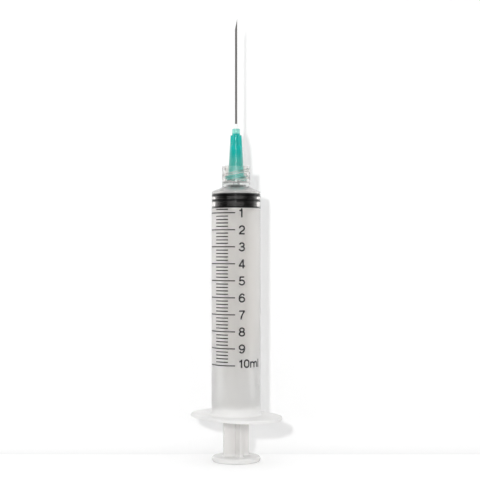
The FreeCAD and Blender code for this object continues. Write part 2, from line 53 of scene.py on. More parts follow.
# Half the width of a ridge's crest, and how far below the collar's floor a ridge starts.
CREST = 0.25
RIDGE_START = 0.35
# Average of a noise texture, about which it varies a finish.
MEAN = 0.5
LOG = logging.getLogger("syringe")

Piece = bpy.types.Object
Node = bpy.types.Node
Socket = bpy.types.NodeSocket
Point = tuple[float, float]
Colour = tuple[float, float, float, float]
Input = Union[float, Sequence[float], "Num", Socket]


class Body(Enum):
    """The moving bodies that the pieces ride on."""

    ROD = "rod"
    SEAL = "seal"
    BARREL = "barrel"
    CARRIER = "needle_carrier"
    NEEDLE = "needle"


@dataclass(frozen=True)
class Corner:
    """One corner of a turned outline: radius, height and rounding, in millimetres."""

    radius: float
    height: float
    rounding: float = 0.0


def soften(corners: Sequence[Corner], closed: bool = True, steps: int = 5) -> list[Point]:
    """Replace the rounded corners of an outline by short arcs.

    Args:
        corners: the outline's corners in order.
        closed: whether the last corner runs back to the first.
        steps: edges in each arc.

    Returns:
        Radius and height of each point of the softened outline.
    """
    points: list[Point] = []
    count = len(corners)
    for index, corner in enumerate(corners):
        at_end = not closed and index in (0, count - 1)
        place = Vector((corner.radius, corner.height))
        if not corner.rounding or at_end:
            points.append((place.x, place.y))
            continue
        before, after = corners[index - 1], corners[(index + 1) % count]
        back = (Vector((before.radius, before.height)) - place).normalized()
        ahead = (Vector((after.radius, after.height)) - place).normalized()
        half = back.angle(ahead) / 2
        reach = corner.rounding / math.tan(half)
        centre = place + (back + ahead).normalized() * (corner.rounding / math.sin(half))
        start, stop = place + back * reach - centre, place + ahead * reach - centre
        first = math.atan2(start.y, start.x)
        sweep = (math.atan2(stop.y, stop.x) - first + math.pi) % math.tau - math.pi
        for step in range(steps + 1):
            angle = first + sweep * step / steps
            points.append((centre.x + corner.rounding * math.cos(angle),
                           centre.y + corner.rounding * math.sin(angle)))
    return points


class Bench:
    """Edit-mode tools that shape one mesh at a time, in millimetres."""

    @staticmethod
    def clear() -> None:
        """Deselect everything."""
        bpy.ops.object.select_all(action="DESELECT")

    @staticmethod
    def activate(piece: Piece) -> None:
        """Make a piece the only selected object and the active one."""
        Bench.clear()
        piece.select_set(True)
        bpy.context.view_layer.objects.active = piece

    @staticmethod
    def unpick(mesh: bmesh.types.BMesh) -> None:
        """Deselect every part of the edited mesh."""
        for part in (*mesh.faces, *mesh.edges, *mesh.verts):
            part.select = False

    @staticmethod
    def pick(test: Callable[[Vector], bool], keep: bool = False) -> None:
        """Select the vertices at places that pass a test, and the edges between them.

        Args:
            test: tells whether a place is wanted.
            keep: whether the present selection stays.
        """
        mesh = bmesh.from_edit_mesh(bpy.context.edit_object.data)
        if not keep:
            Bench.unpick(mesh)
        for vert in mesh.verts:
            if test(vert.co):
                vert.select = True
        mesh.select_flush(True)
        bmesh.update_edit_mesh(bpy.context.edit_object.data)

    @staticmethod
    def at_ring(radius: float, height: float) -> Callable[[Vector], bool]:
        """Test for places on one circle about the axis."""
        return lambda co: (abs(math.hypot(co.x, co.y) - radius) < SAME_RING
                           and abs(co.z - height) < SAME_RING)

    @staticmethod
    def shift(x: float, y: float, z: float) -> None:
        """Move the selection."""
        bpy.ops.transform.translate(value=(x, y, z))

    @staticmethod
    def resize(x: float, y: float, z: float, height: float = 0.0) -> None:
        """Resize the selection about a point of the axis."""
        bpy.ops.transform.resize(value=(x, y, z), center_override=(0, 0, height))

    @staticmethod
    def extend(rise: float, grow_x: float = 1.0, grow_y: float | None = None) -> None:
        """Extrude the selection upwards and resize its new end about the axis."""
        bpy.ops.mesh.extrude_region_move(TRANSFORM_OT_translate={"value": (0, 0, rise)})
        across = grow_x if grow_y is None else grow_y
        if grow_x != 1.0 or across != 1.0:
            Bench.resize(grow_x, across, 1)

    @staticmethod
    def box(x: float, y: float, z: float, left: float, foot: float) -> None:
        """Start a box from its three sizes, its left side and its foot, all selected."""
        Bench.clear()
        bpy.ops.mesh.primitive_cube_add(size=1, enter_editmode=True)
        Bench.resize(x, y, z)
        Bench.shift(left + x / 2, 0, foot + z / 2)

    @staticmethod
    def lathe(points: Sequence[Point], segments: int, closed: bool = True) -> None:
        """Turn an outline about the axis, ring by ring, and stay in edit mode.

        Args:
            points: radius and height of each ring; a radius of 0 makes a pole.
            segments: edges in each ring.
            closed: whether the last ring is bridged to the first.
        """
        Bench.clear()
        pole_first = points[0][0] == 0
        rings = points[1:] if pole_first else points
        radius, height = rings[0]
        bpy.ops.mesh.primitive_circle_add(vertices=segments, radius=radius, enter_editmode=True)
        Bench.shift(0, 0, height)
        if pole_first:
            Bench.extend(points[0][1] - height)
            bpy.ops.mesh.merge(type="CENTER")
            Bench.pick(lambda co: math.hypot(co.x, co.y) > radius / 2)
        for next_radius, next_height in rings[1:]:
            if next_radius == 0:
                Bench.extend(next_height - height)
                bpy.ops.mesh.merge(type="CENTER")
                break
            Bench.extend(next_height - height, next_radius / radius)
            radius, height = next_radius, next_height
        if closed and not pole_first:
            Bench.pick(Bench.at_ring(*points[0]), keep=True)
            Bench.bridge()

    @staticmethod
    def turned(corners: Sequence[Corner], segments: int, closed: bool = True,
               steps: int = 5) -> Piece:
        """Turn an outline with rounded corners about the axis.

        Args:
            corners: the outline's corners in order.
            segments: edges in each ring.
            closed: whether the last corner runs back to the first.
            steps: edges in each rounding.

        Returns:
            The new object.
        """
        Bench.lathe(soften(corners, closed, steps), segments, closed)
        Bench.outward()
        return Bench.leave()

    @staticmethod
    def helix(profile: Sequence[Point], angle: float, rise: float, steps: int) -> Piece:
        """Sweep a closed profile along a helix about the axis and close its ends.

        Args:
            profile: radius and height of each corner in order.
            angle: how far it turns, in radians.
            rise: how far it climbs.
            steps: how many sections it has.

        Returns:
            The new object.
        """
        Bench.clear()
        bpy.ops.mesh.primitive_circle_add(vertices=len(profile), radius=1, enter_editmode=True)
        mesh = bmesh.from_edit_mesh(bpy.context.edit_object.data)
        loop = sorted(mesh.verts, key=lambda vert: math.atan2(vert.co.y, vert.co.x))
        for vert, (radius, height) in zip(loop, profile):
            vert.co = (radius, 0, height)
        bmesh.update_edit_mesh(bpy.context.edit_object.data)
        piece = Bench.leave()
        Bench.apply(piece, "SCREW", axis="Z", angle=angle, screw_offset=rise,
                    steps=steps, render_steps=steps, use_merge_vertices=False)
        Bench.enter()
        bpy.ops.mesh.fill_holes(sides=0)
        Bench.outward()
        return Bench.leave()

    @staticmethod
    def bridge() -> None:
        """Join the two open rings of the selection by faces."""
        bpy.ops.mesh.select_mode(type="EDGE")
        mesh = bmesh.from_edit_mesh(bpy.context.edit_object.data)
        borders = [edge for edge in mesh.edges if edge.select and len(edge.link_faces) == 1]
        Bench.unpick(mesh)
        for edge in borders:
            edge.select = True
        bmesh.update_edit_mesh(bpy.context.edit_object.data)
        bpy.ops.mesh.bridge_edge_loops()
        bpy.ops.mesh.select_mode(type="VERT")

    @staticmethod
    def enter() -> None:
        """Enter edit mode with everything selected."""
        bpy.ops.object.mode_set(mode="EDIT")
        bpy.ops.mesh.select_all(action="SELECT")

    @staticmethod
    def leave() -> Piece:
        """Leave edit mode and return the object that was edited."""
        piece = bpy.context.edit_object
        bpy.ops.object.mode_set(mode="OBJECT")
        return piece

    @staticmethod
    def align() -> None:
        """Make the faces of the edited mesh agree on their outer side."""
        bpy.ops.mesh.select_all(action="SELECT")
        bpy.ops.mesh.normals_make_consistent(inside=False)

    @staticmethod
    def outward() -> None:
        """Merge doubles and point all faces of the edited mesh outwards."""
        bpy.ops.mesh.select_all(action="SELECT")
        bpy.ops.mesh.remove_doubles(threshold=MERGE)
        Bench.align()
        if bmesh.from_edit_mesh(bpy.context.edit_object.data).calc_volume(signed=True) < 0:
            bpy.ops.mesh.flip_normals()

    @staticmethod
    def apply(piece: Piece, kind: str, **settings: object) -> None:
        """Add a modifier with its settings and apply it."""
        Bench.activate(piece)
        modifier = piece.modifiers.new(kind.lower(), kind)
        for name, value in settings.items():
            setattr(modifier, name, value)
        bpy.ops.object.modifier_apply(modifier=modifier.name)

    @staticmethod
    def unite(piece: Piece, others: Sequence[Piece]) -> None:
        """Fuse other solids into a piece and remove them."""
        for other in others:
            Bench.apply(piece, "BOOLEAN", operation="UNION", solver="EXACT", object=other)
            bpy.data.objects.remove(other, do_unlink=True)
        Bench.enter()
        bpy.ops.mesh.remove_doubles(threshold=MERGE_FUSED)
        Bench.leave()

    @staticmethod
    def copy(piece: Piece) -> Piece:
        """Copy a piece with its own mesh."""
        twin = piece.copy()
        twin.data = piece.data.copy()
        bpy.context.scene.collection.objects.link(twin)
        return twin

    @staticmethod
    def settle(piece: Piece) -> None:
        """Apply a piece's place, turn and scale to its mesh."""
        Bench.activate(piece)
        bpy.ops.object.transform_apply(location=True, rotation=True, scale=True)

    @staticmethod
    def turn(piece: Piece, degrees: float) -> Piece:
        """Turn a piece about the axis, in its mesh, and return it."""
        piece.rotation_euler.z = math.radians(degrees)
        Bench.settle(piece)
        return piece

    @staticmethod
    def join(pieces: Sequence[Piece]) -> Piece:
        """Join several objects into the first one."""
        Bench.activate(pieces[0])
        for piece in pieces[1:]:
            piece.select_set(True)
        bpy.ops.object.join()
        return pieces[0]

    @staticmethod
    def finish(piece: Piece, name: str, sharp_angle: float = 30.0) -> Piece:
        """Name a piece, bring it to metres and shade it smooth up to an angle.

        Args:
            piece: the modelled object, in millimetres.
            name: its name in the scene.
            sharp_angle: edges bent by more than this, in degrees, stay sharp.

        Returns:
            The finished piece.
        """
        piece.scale = (MM, MM, MM)
        Bench.settle(piece)
        bpy.ops.object.shade_smooth_by_angle(angle=math.radians(sharp_angle))
        piece.name = name
        piece.data.name = name
        return piece


class Num:
    """A number socket that adds Math nodes when it is used in an expression."""

    def __init__(self, graph: "Graph", socket: Socket) -> None:
        """Wrap a socket of a graph."""
        self.graph = graph
        self.socket = socket

    def _math(self, operation: str, first: Input, second: Input = 0.0) -> "Num":
        """Add a Math node and wrap its result."""
        node = self.graph.node("ShaderNodeMath", {"operation": operation}, {0: first, 1: second})
        return Num(self.graph, node.outputs[0])

    def __add__(self, other: Input) -> "Num":
        """Sum."""
        return self._math("ADD", self, other)

    def __radd__(self, other: Input) -> "Num":
        """Sum, reflected."""
        return self._math("ADD", other, self)

    def __sub__(self, other: Input) -> "Num":
        """Difference."""
        return self._math("SUBTRACT", self, other)

    def __rsub__(self, other: Input) -> "Num":
        """Difference, reflected."""
        return self._math("SUBTRACT", other, self)

    def __mul__(self, other: Input) -> "Num":
        """Product."""
        return self._math("MULTIPLY", self, other)

    def __rmul__(self, other: Input) -> "Num":
        """Product, reflected."""
        return self._math("MULTIPLY", other, self)

    def maximum(self, other: Input) -> "Num":
        """The larger of two values."""
        return self._math("MAXIMUM", self, other)


class Graph:
    """The node tree of one material or of the world."""

    def __init__(self, tree: bpy.types.NodeTree) -> None:
        """Start from an empty tree."""
        self.tree = tree
        tree.nodes.clear()

    def node(self, kind: str, settings: dict[str, object] | None = None,
             values: dict[int | str, Input] | None = None) -> Node:
        """Add a node, set it, then fill or link its sockets.

        Args:
            kind: the node's type name.
            settings: properties of the node.
            values: numbers, vectors or links by socket name or index.

        Returns:
            The new node.
        """
        made = self.tree.nodes.new(kind)
        for name, value in (settings or {}).items():
            setattr(made, name, value)
        for name, value in (values or {}).items():
            socket = made.inputs[name]
            if isinstance(value, Num):
                value = value.socket
            if isinstance(value, Socket):
                self.tree.links.new(value, socket)
            else:
                socket.default_value = value
        return made

    def place(self) -> Socket:
        """Object coordinates of the shaded point."""
        return self.node("ShaderNodeTexCoord").outputs["Object"]

    def axis(self, name: str) -> Num:
        """One object coordinate as a number, in metres."""
        split = self.node("ShaderNodeSeparateXYZ", values={0: self.place()})
        return Num(self, split.outputs[name])

    def radius(self) -> Num:
        """Distance of the shaded point from the axis, in metres."""
        flat = self.node("ShaderNodeVectorMath", {"operation": "MULTIPLY"},
                         {0: self.place(), 1: (1, 1, 0)})
        length = self.node("ShaderNodeVectorMath", {"operation": "LENGTH"}, {0: flat.outputs[0]})
        return Num(self, length.outputs["Value"])

    def noise(self, scale: float, along: float = 1.0, detail: float = 2.0) -> Num:
        """Noise over the object.

        Args:
            scale: waves in a metre.
            along: factor for the waves along the axis; a small one draws them out to lines.
            detail: how many finer layers are added.

        Returns:
            The noise, about 0.5 on average.
        """
        mapping = self.node("ShaderNodeMapping", values={
            "Vector": self.place(), "Scale": (1, 1, along)})
        noise = self.node("ShaderNodeTexNoise", values={
            "Vector": mapping.outputs[0], "Scale": scale, "Detail": detail})
        return Num(self, noise.outputs[0])

    def band(self, value: Num, low: float, high: float) -> Num:
        """Smooth 0 to 1 as a value goes from low to high."""
        ramp = self.node("ShaderNodeMapRange", {"interpolation_type": "SMOOTHSTEP"},
                         {"Value": value, "From Min": low, "From Max": high})
        return Num(self, ramp.outputs[0])

    def blend(self, factor: Input, first: Input, second: Input) -> Socket:
        """Mix two colours."""
        mix = self.node("ShaderNodeMix", {"data_type": "RGBA"}, {0: factor, 6: first, 7: second})
        return mix.outputs[2]

    def bump(self, height: Num, depth: float, strength: float = 1.0) -> Socket:
        """Normal from a height of a given depth in metres."""
        bump = self.node("ShaderNodeBump", values={
            "Strength": strength, "Distance": depth, "Height": height})
        return bump.outputs[0]

    def rays(self, *kinds: str) -> Num:
        """1 for rays of any of the given kinds, else 0."""
        path = self.node("ShaderNodeLightPath")
        first, *others = (Num(self, path.outputs[f"Is {kind} Ray"]) for kind in kinds)
        for other in others:
            first = first.maximum(other)
        return first

    def principled(self, values: dict[int | str, Input]) -> Node:
        """Add a principled shader."""
        return self.node("ShaderNodeBsdfPrincipled", values=values)

    def mix(self, factor: Input, first: Node, second: Node) -> Node:
        """Mix two shaders."""
        return self.node("ShaderNodeMixShader", values={
            0: factor, 1: first.outputs[0], 2: second.outputs[0]})

    def show(self, shader: Node, kind: str = "Material") -> None:
        """Make a shader the output of the material or the world."""
        self.node("ShaderNodeOutput" + kind, values={"Surface": shader.outputs[0]})


def new_graph(name: str) -> tuple[bpy.types.Material, Graph]:
    """Make a material with an empty graph."""
    material = bpy.data.materials.new(name)
    material.use_nodes = True
    return material, Graph(material.node_tree)


@dataclass(frozen=True)
class ClearPlastic:
    """Translucent moulding of the barrel, clearest at its front end and milky at the flange, with
    painted light paling its tint towards the flange and painted shade darkening the collar's root.
    """

    name: str = "barrel_polypropylene"
    tint: Colour = (0.965, 0.945, 0.925, 1)
    cloud: Colour = (1.0, 0.985, 0.967, 1)
    # Near-white tint towards the flange: painted light that brightens the barrel's lower part.
    pale: Colour = (1.0, 1.0, 0.995, 1)
    lock: Colour = (0.94, 0.93, 0.915, 1)
    # Darker tint where the collar rises from the shoulder: painted shade.
    root: Colour = (0.72, 0.74, 0.73, 1)
    milk: Colour = (0.97, 0.965, 0.955, 1)
    clear: float = 0.10
    satin: float = 0.32
    haze: float = 0.08
    bore_haze: float = 0.05
    rear_milk: float = 0.12
    heel_milk: float = 0.4
    edge_milk: float = 0.26
    nose_milk: float = 0.07
    lock_milk: float = 0.02
    lock_satin: float = 0.07
    ior: float = 1.45
    # Heights and radii between which a change comes in, in metres.
    heel_top: Point = (0.0174, 0.0198)
    rear_top: Point = (0.022, 0.044)
    front_foot: Point = (0.0864, 0.0870)
    edge_foot: Point = (0.0914, 0.0920)
    nose_foot: Point = (0.0928, 0.0935)
    root_foot: Point = (0.0938, 0.0942)
    root_top: Point = (0.0956, 0.0960)
    collar_foot: Point = (0.0956, 0.0962)
    bore_skin: Point = (0.0076, 0.0081)

    def material(self) -> bpy.types.Material:
        """Make the finish: flow clouds, fine moulding grain and drawn lines along the bore."""
        made, graph = new_graph(self.name)
        height = graph.axis("Z")
        clouds = graph.noise(160, 0.25)
        grain = graph.noise(9000)
        lines = graph.noise(1500, 0.02, 1.0)
        streaks = graph.noise(900, 0.02, 1.0)
        front = graph.band(height, *self.front_foot)
        edge = graph.band(height, *self.edge_foot)
        nose = graph.band(height, *self.nose_foot)
        # Band at the collar's root that takes the painted shade.
        root = graph.band(height, *self.root_foot) - graph.band(height, *self.root_top)
        collar = graph.band(height, *self.collar_foot)
        rear = 1 - graph.band(height, *self.rear_top)
        heel = 1 - graph.band(height, *self.heel_top)
        bore = 1 - graph.band(graph.radius(), *self.bore_skin)
        normal = graph.bump(grain * 0.4 + lines, 1.2e-6, 0.5)
        polish = self.satin - front * (self.satin - self.clear) + collar * self.lock_satin
        wall = graph.blend(clouds * 0.4 + streaks * 0.6, self.tint, self.cloud)
        # Towards the flange the tint pales to the pale colour, painted light.
        wall = graph.blend(rear, wall, self.pale)
        clear = graph.principled({
            "Base Color": graph.blend(root, graph.blend(collar, wall, self.lock), self.root),
            "Roughness": polish + (clouds - MEAN) * 0.08,
            "IOR": self.ior,
            "Transmission Weight": 1.0,
            "Normal": normal,
        })
        milky = graph.principled({
            "Base Color": self.milk,
            "Roughness": polish,
            "IOR": self.ior,
            "Normal": normal,
        })
        milkiness = ((bore * self.bore_haze + self.haze) * (1 - front) + rear * self.rear_milk
                     + edge * self.edge_milk - nose * (self.edge_milk - self.nose_milk)
                     - collar * (self.nose_milk - self.lock_milk) + heel * self.heel_milk)
        graph.show(graph.mix(milkiness, clear, milky))
        return made


@dataclass(frozen=True)
class MilkyPlastic:
    """Cloudier moulding of the plunger rod."""

    name: str = "rod_polypropylene"
    tint: Colour = (0.89, 0.877, 0.862, 1)
    cloud: Colour = (0.93, 0.918, 0.905, 1)
    # Near-white colour of the thumb rest: painted light.
    thumb: Colour = (0.99, 0.985, 0.975, 1)
    roughness: float = 0.22
    transmission: float = 0.36
    ior: float = 1.45
    ribs_foot: Point = (0.0018, 0.0030)

    def material(self) -> bpy.types.Material:
        """Make the finish: clouded body, with painted light that makes the thumb rest paler, and a
        soft grain.
        """
        made, graph = new_graph(self.name)
        clouds = graph.noise(220, 0.4)
        grain = graph.noise(8000)
        # Below the ribs' foot the colour pales to the thumb colour, painted light.
        ribs = graph.band(graph.axis("Z"), *self.ribs_foot)
        graph.show(graph.principled({
            "Base Color": graph.blend(ribs, self.thumb, graph.blend(clouds, self.tint, self.cloud)),
            "Roughness": self.roughness + (clouds - MEAN) * 0.12,
            "IOR": self.ior,
            "Transmission Weight": self.transmission,
            "Normal": graph.bump(grain, 4e-6, 0.5),
        }))
        return made


@dataclass(frozen=True)
class BlackRubber:
    """Moulded rubber with a film of silicone oil."""

    name: str = "gasket_rubber"
    tint: Colour = (0.004, 0.004, 0.0045, 1)
    worn: Colour = (0.009, 0.009, 0.0095, 1)
    roughness: float = 0.34

    def material(self) -> bpy.types.Material:
        """Make the finish: near black with an oily sheen and fine pits."""
        made, graph = new_graph(self.name)
        film = graph.noise(500, detail=3.0)
        pits = graph.noise(14000)
        graph.show(graph.principled({
            "Base Color": graph.blend(film, self.tint, self.worn),
            "Roughness": self.roughness + (film - MEAN) * 0.25,
            "Specular IOR Level": 0.06,
            "Normal": graph.bump(pits, 5e-6, 0.5),
        }))
        return made


@dataclass(frozen=True)
class HubPlastic:
    """Green translucent moulding of the needle hub."""

    name: str = "hub_polypropylene"
    solid: Colour = (0.012, 0.56, 0.50, 1)
    thin: Colour = (0.10, 0.575, 0.50, 1)
    # Paler green of the foot inside the collar: painted light that makes up for the collar's shade.
    foot: Colour = (0.14, 0.80, 0.72, 1)
    nose: Colour = (0.40, 0.90, 0.80, 1)
    roughness: float = 0.16
    transmission: float = 0.4
    skirt_foot: Point = (0.1005, 0.1015)
    solid_foot: Point = (0.1025, 0.1060)
    nose_foot: Point = (0.1120, 0.1128)

    def material(self) -> bpy.types.Material:
        """Make the finish: paler where the wall is thin, deep green where it is solid, and paler
        still at the foot inside the collar, which is painted light.
        """
        made, graph = new_graph(self.name)
        height = graph.axis("Z")
        clouds = graph.noise(400, 0.4)
        grain = graph.noise(11000)
        # Below the collar's rim the green pales to the foot colour, painted light.
        skirt = graph.blend(graph.band(height, *self.skirt_foot), self.foot, self.thin)
        body = graph.blend(graph.band(height, *self.solid_foot), skirt, self.solid)
        graph.show(graph.principled({
            "Base Color": graph.blend(graph.band(height, *self.nose_foot), body, self.nose),
            "Roughness": self.roughness + (clouds - MEAN) * 0.14,
            "IOR": 1.45,
            "Transmission Weight": self.transmission,
            "Coat Weight": 0.5,
            "Coat Roughness": 0.06,
            "Normal": graph.bump(grain, 3e-6, 0.5),
        }))
        return made


@dataclass(frozen=True)
class DrawnSteel:
    """Drawn and polished stainless tube."""

    name: str = "needle_steel"
    dark: Colour = (0.28, 0.27, 0.265, 1)
    light: Colour = (0.36, 0.35, 0.345, 1)
    roughness: float = 0.56

    def material(self) -> bpy.types.Material:
        """Make the finish: long drawing marks that vary in tone and gloss."""
        made, graph = new_graph(self.name)
        marks = graph.noise(4000, 0.01)
        graph.show(graph.principled({
            "Base Color": graph.blend(marks, self.dark, self.light),
            "Metallic": 1.0,
            "Roughness": self.roughness + (marks - MEAN) * 0.15,
            "Normal": graph.bump(marks, 4e-7, 0.2),
        }))
        return made


@dataclass(frozen=True)
class CuredAdhesive:
    """White adhesive, cured with a slightly uneven skin."""

    name: str = "needle_adhesive"
    pale: Colour = (0.93, 0.95, 0.94, 1)
    milky: Colour = (0.97, 0.98, 0.97, 1)

    def material(self) -> bpy.types.Material:
        """Make the finish: white with a soft uneven gloss."""
        made, graph = new_graph(self.name)
        skin = graph.noise(2600)
        graph.show(graph.principled({
            "Base Color": graph.blend(skin, self.pale, self.milky),
            "Roughness": 0.3 + (skin - MEAN) * 0.2,
            "IOR": 1.5,
            "Transmission Weight": 0.1,
            "Normal": graph.bump(skin, 2e-5, 0.4),
        }))
        return made


@dataclass(frozen=True)
class ScaleInk:
    """Black print, slightly uneven where it was pressed on."""

    name: str = "scale_ink"
    full: Colour = (0.012, 0.012, 0.013, 1)
    thin: Colour = (0.05, 0.05, 0.052, 1)

    def material(self) -> bpy.types.Material:
        """Make the finish: black with paler specks."""
        made, graph = new_graph(self.name)
        specks = graph.band(graph.noise(7000, detail=3.0), 0.45, 0.75)
        graph.show(graph.principled({
            "Base Color": graph.blend(specks, self.full, self.thin),
            "Roughness": 0.45 + specks * 0.2,
        }))
        return made


def dress(piece: Piece, material: bpy.types.Material, body: Body) -> None:
    """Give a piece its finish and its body.

    Args:
        piece: the finished piece.
        material: its finish.
        body: the body that it moves with.
    """
    piece.data.materials.clear()
    piece.data.materials.append(material)
    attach(piece, body.value)
    LOG.info("%s: %d faces, rides on %s", piece.name, len(piece.data.polygons), body.value)


@dataclass
class Barrel:
    """Barrel with finger flange, shoulder, male cone and threaded lock collar."""

    outer_radius: float = 8.4
    bore_radius: float = 7.45
    base: float = 14.8
    bore_end: float = 92.2
    flange_thickness: float = 1.2
    flange_length: float = 36.2
    flange_width: float = 25.0
    flange_end_radius: float = 11.5
    flange_turn: float = -50.6
    flange_rim: float = 0.4
    flange_foot: float = 9.7
    mouth_radius: float = 7.75
    stop_radius: float = 7.2
    channel_radius: float = 0.9
    channel_foot: float = 94.7
    collar_radius: float = 4.8
    collar_bore: float = 4.0
    collar_floor: float = 95.4
    collar_rim: float = 101.1
    cone_tip: float = 102.1
    thread_crest: float = 3.55
    thread_lead: float = 5.0
    segments: int = 144
    flange_end_steps: int = 38
    rim_steps: int = 4
    rim_seam: float = 0.02

    def outline(self) -> list[Corner]:
        """Outline from the flange's front face round the nose and back to the open end."""
        top = self.base + self.flange_thickness
        return [
            Corner(self.flange_foot, top),
            Corner(self.outer_radius, top, 1.0),
            Corner(self.outer_radius, 92.5, 0.7),
            Corner(self.collar_radius, 93.9, 0.5),
            Corner(self.collar_radius, self.collar_rim, 0.22),
            Corner(self.collar_bore, self.collar_rim, 0.12),
            Corner(self.collar_bore, self.collar_floor, 0.15),
            Corner(2.166, self.collar_floor, 0.15),
            Corner(1.965, self.cone_tip, 0.25),
            Corner(self.channel_radius, self.cone_tip, 0.12),
            Corner(self.channel_radius, self.channel_foot),
            Corner(2.3, self.channel_foot),
            Corner(3.2, 93.2),
            Corner(self.bore_radius, self.bore_end, 0.1),
            Corner(self.bore_radius, 19.4),
            Corner(self.stop_radius, 18.8, 0.3),
            Corner(self.stop_radius, 18.0, 0.3),
            Corner(self.bore_radius, 17.4),
            Corner(self.bore_radius, 15.1),
            Corner(self.mouth_radius, self.base),
        ]

    def oval(self, height: float) -> None:
        """Add the flange's plan as a closed line of arcs, inset by its rim, at a height."""
        end_r = self.flange_end_radius
        end_x = self.flange_length / 2 - end_r
        half = self.flange_width / 2
        side_r = (half**2 + end_x**2 - end_r**2) / (2 * (half - end_r))
        side_y = side_r - half
        split = math.atan2(side_y, end_x)
        start = Vector((end_x + (end_r - self.flange_rim) * math.cos(split),
                        -(end_r - self.flange_rim) * math.sin(split), height))
        bpy.ops.mesh.select_all(action="DESELECT")
        bpy.ops.mesh.primitive_circle_add(vertices=3, radius=0.1, location=start)
        bpy.ops.mesh.merge(type="CENTER")
        end = (2 * split, self.flange_end_steps)
        side = (math.pi - 2 * split, self.segments // 2 - self.flange_end_steps)
        for x, y, (angle, steps) in ((end_x, 0, end), (0, -side_y, side),
                                     (-end_x, 0, end), (0, side_y, side)):
            bpy.ops.mesh.spin(steps=steps, angle=angle, center=(x, y, height), axis=(0, 0, -1))

    def on_plan(self, height: float) -> Callable[[Vector], bool]:
        """Test for places of the flange's rim at a height, which lie beyond its foot."""
        return lambda co: (math.hypot(co.x, co.y) > self.flange_foot + 1
                           and abs(co.z - height) < SAME_RING)

    def flange(self) -> None:
        """Close the shell with the flange's faces and its rounded rim."""
        top = self.base + self.flange_thickness
        half_x, half_y = self.flange_length / 2, self.flange_width / 2
        self.oval(top)
        Bench.pick(self.on_plan(top))
        bpy.ops.mesh.remove_doubles(threshold=self.rim_seam)
        Bench.pick(self.on_plan(top))
        inset, height = self.flange_rim, top
        angles = [step * math.pi / 2 / self.rim_steps for step in range(1, self.rim_steps + 1)]
        levels = [(self.flange_rim * (1 - math.sin(angle)),
                   top - self.flange_rim * (1 - math.cos(angle))) for angle in angles]
        levels += [(edge, top + self.base - rise) for edge, rise in reversed(levels)]
        levels.append((self.flange_rim, self.base))
        for next_inset, next_height in levels:
            Bench.extend(next_height - height, (half_x - next_inset) / (half_x - inset),
                         (half_y - next_inset) / (half_y - inset))
            inset, height = next_inset, next_height
        for radius, level in ((self.mouth_radius, self.base), (self.flange_foot, top)):
            Bench.pick(self.on_plan(level))
            Bench.pick(Bench.at_ring(radius, level), keep=True)
            Bench.bridge()

    def shell(self) -> Piece:
        """Make the barrel's moulding as one closed shell."""
        Bench.lathe(soften(self.outline(), closed=False), self.segments, closed=False)
        self.flange()
        Bench.outward()
        return Bench.finish(Bench.turn(Bench.leave(), self.flange_turn), "barrel_moulding")

    def thread(self) -> Piece:
        """Make the two ridges of the lock thread on the collar's inner wall."""
        sunk, rim_gap = 0.05, 0.5
        wall = self.collar_bore + sunk
        foot = CREST + (wall - self.thread_crest) * math.tan(FLANK)
        start = self.collar_floor - RIDGE_START
        rise = self.collar_rim - rim_gap - foot - start
        ridge = Bench.helix([
            (wall, start - foot), (self.thread_crest, start - CREST),
            (self.thread_crest, start + CREST), (wall, start + foot),
        ], angle=rise / self.thread_lead * math.tau, rise=rise, steps=72)
        twin = Bench.turn(Bench.copy(ridge), 180)
        return Bench.finish(Bench.join([ridge, twin]), "lock_thread")

    def build(self, finish: ClearPlastic) -> None:
        """Model the barrel and its thread and dress both."""
        material = finish.material()
        shell, thread = self.shell(), self.thread()
        dress(shell, material, Body.BARREL)
        dress(thread, material, Body.BARREL)
        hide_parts("barrel")


def bow(x: float, y: float, wide: float, high: float, start: float, stop: float) -> list[Point]:
    """Arc of an ellipse.

    Args:
        x: centre across.
        y: centre up.
        wide: half width.
        high: half height.
        start: first angle in degrees, from the right and to the left over the top.
        stop: last angle in degrees.

    Returns:
        Points along the arc.
    """
    steps = max(3, int(abs(stop - start) / 15))
    angles = [math.radians(start + (stop - start) * step / steps) for step in range(steps + 1)]
    return [(x + wide * math.cos(angle), y + high * math.sin(angle)) for angle in angles]


